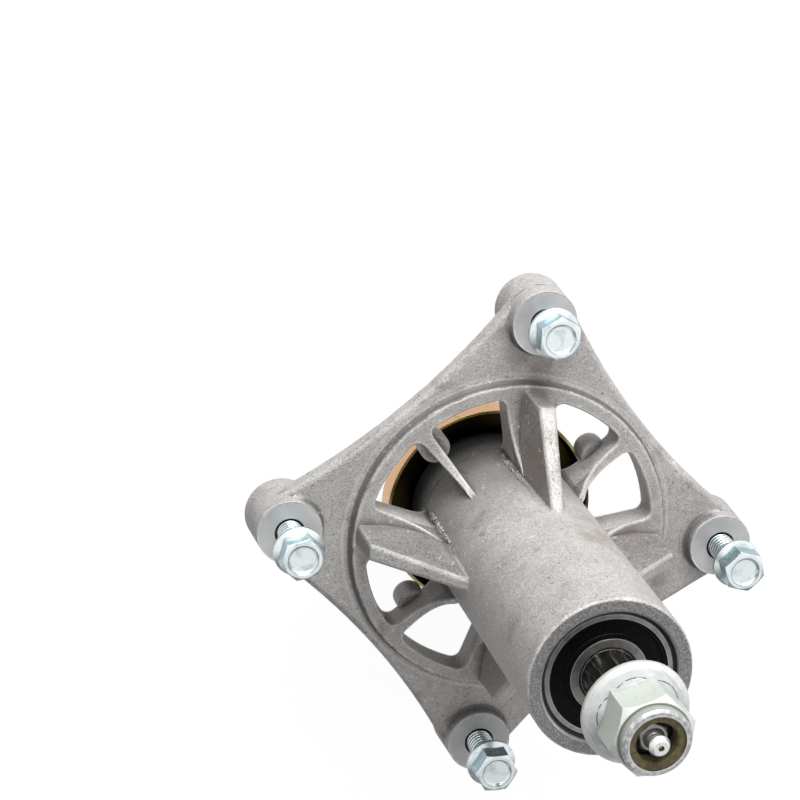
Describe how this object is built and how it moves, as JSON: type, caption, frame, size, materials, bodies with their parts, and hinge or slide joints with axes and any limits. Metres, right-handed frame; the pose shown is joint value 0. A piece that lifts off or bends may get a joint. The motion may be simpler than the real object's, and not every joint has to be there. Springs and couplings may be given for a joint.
{
  "type": "mower deck spindle",
  "caption": "Cast housing with a square flange, gussets and windows, carrying a splined shaft on sealed ball bearings, with a lock nut, grease fitting, dust cup and deck bolts.",
  "frame": {"origin": "on the shaft axis, in the plane of the four machined pads that bolt up against the deck", "axes": "+Z along the shaft towards the lock nut; X and Y along the sides of the square flange"},
  "size_m": [0.1289, 0.129, 0.1892],
  "materials": {
    "housing": "raw sandy die casting",
    "deck_bolts": "clear zinc plating",
    "shaft_steel": "dark oiled steel",
    "sleeve_steel": "plain drawn steel",
    "cup_gold": "yellow chromate plating on pressed steel",
    "nut_zinc": "bright white zinc plating",
    "nut_insert": "tan nylon",
    "fitting_steel": "bright plating",
    "bearing_steel": "ground bearing steel",
    "cage_steel": "pressed steel",
    "seal_rubber": "smooth black rubber"
  },
  "bodies": {
    "housing": {"housing": "housing", "deck_bolts": "deck_bolts", "upper_outer_ring": "bearing_steel", "upper_top_seal": "seal_rubber", "upper_bottom_seal": "seal_rubber", "lower_outer_ring": "bearing_steel", "lower_top_seal": "seal_rubber", "lower_bottom_seal": "seal_rubber"},
    "rotor": {"shaft": "shaft_steel", "spacer_sleeve": "sleeve_steel", "dust_cup": "cup_gold", "flange_nut": "nut_zinc", "nut_insert": "nut_insert", "grease_fitting": "fitting_steel", "grease_spring": "fitting_steel", "upper_inner_ring": "bearing_steel", "lower_inner_ring": "bearing_steel"},
    "upper_cage": {"upper_cage": "cage_steel", "upper_balls": "bearing_steel"},
    "lower_cage": {"lower_cage": "cage_steel", "lower_balls": "bearing_steel"},
    "check_ball": {"grease_check_ball": "fitting_steel"}
  },
  "joints": [
    {"name": "shaft_spin", "type": "hinge", "parent": "housing", "child": "rotor", "pos_m": [0, 0, 0], "axis": [0, 0, 1], "continuous": true},
    {"name": "upper_cage_spin", "type": "hinge", "parent": "housing", "child": "upper_cage", "pos_m": [0, 0, 0.0938], "axis": [0, 0, 1], "continuous": true},
    {"name": "lower_cage_spin", "type": "hinge", "parent": "housing", "child": "lower_cage", "pos_m": [0, 0, -0.0244], "axis": [0, 0, 1], "continuous": true},
    {"name": "check_ball_press", "type": "slide", "parent": "rotor", "child": "check_ball", "axis": [0, 0, -1], "range_m": [0, 0.001], "stiffness_N_per_m": 200, "deforming": ["grease_spring"]}
  ],
  "couplings": [
    {"joint": "upper_cage_spin", "follows": "shaft_spin", "ratio": 0.38163},
    {"joint": "lower_cage_spin", "follows": "shaft_spin", "ratio": 0.38163}
  ]
}
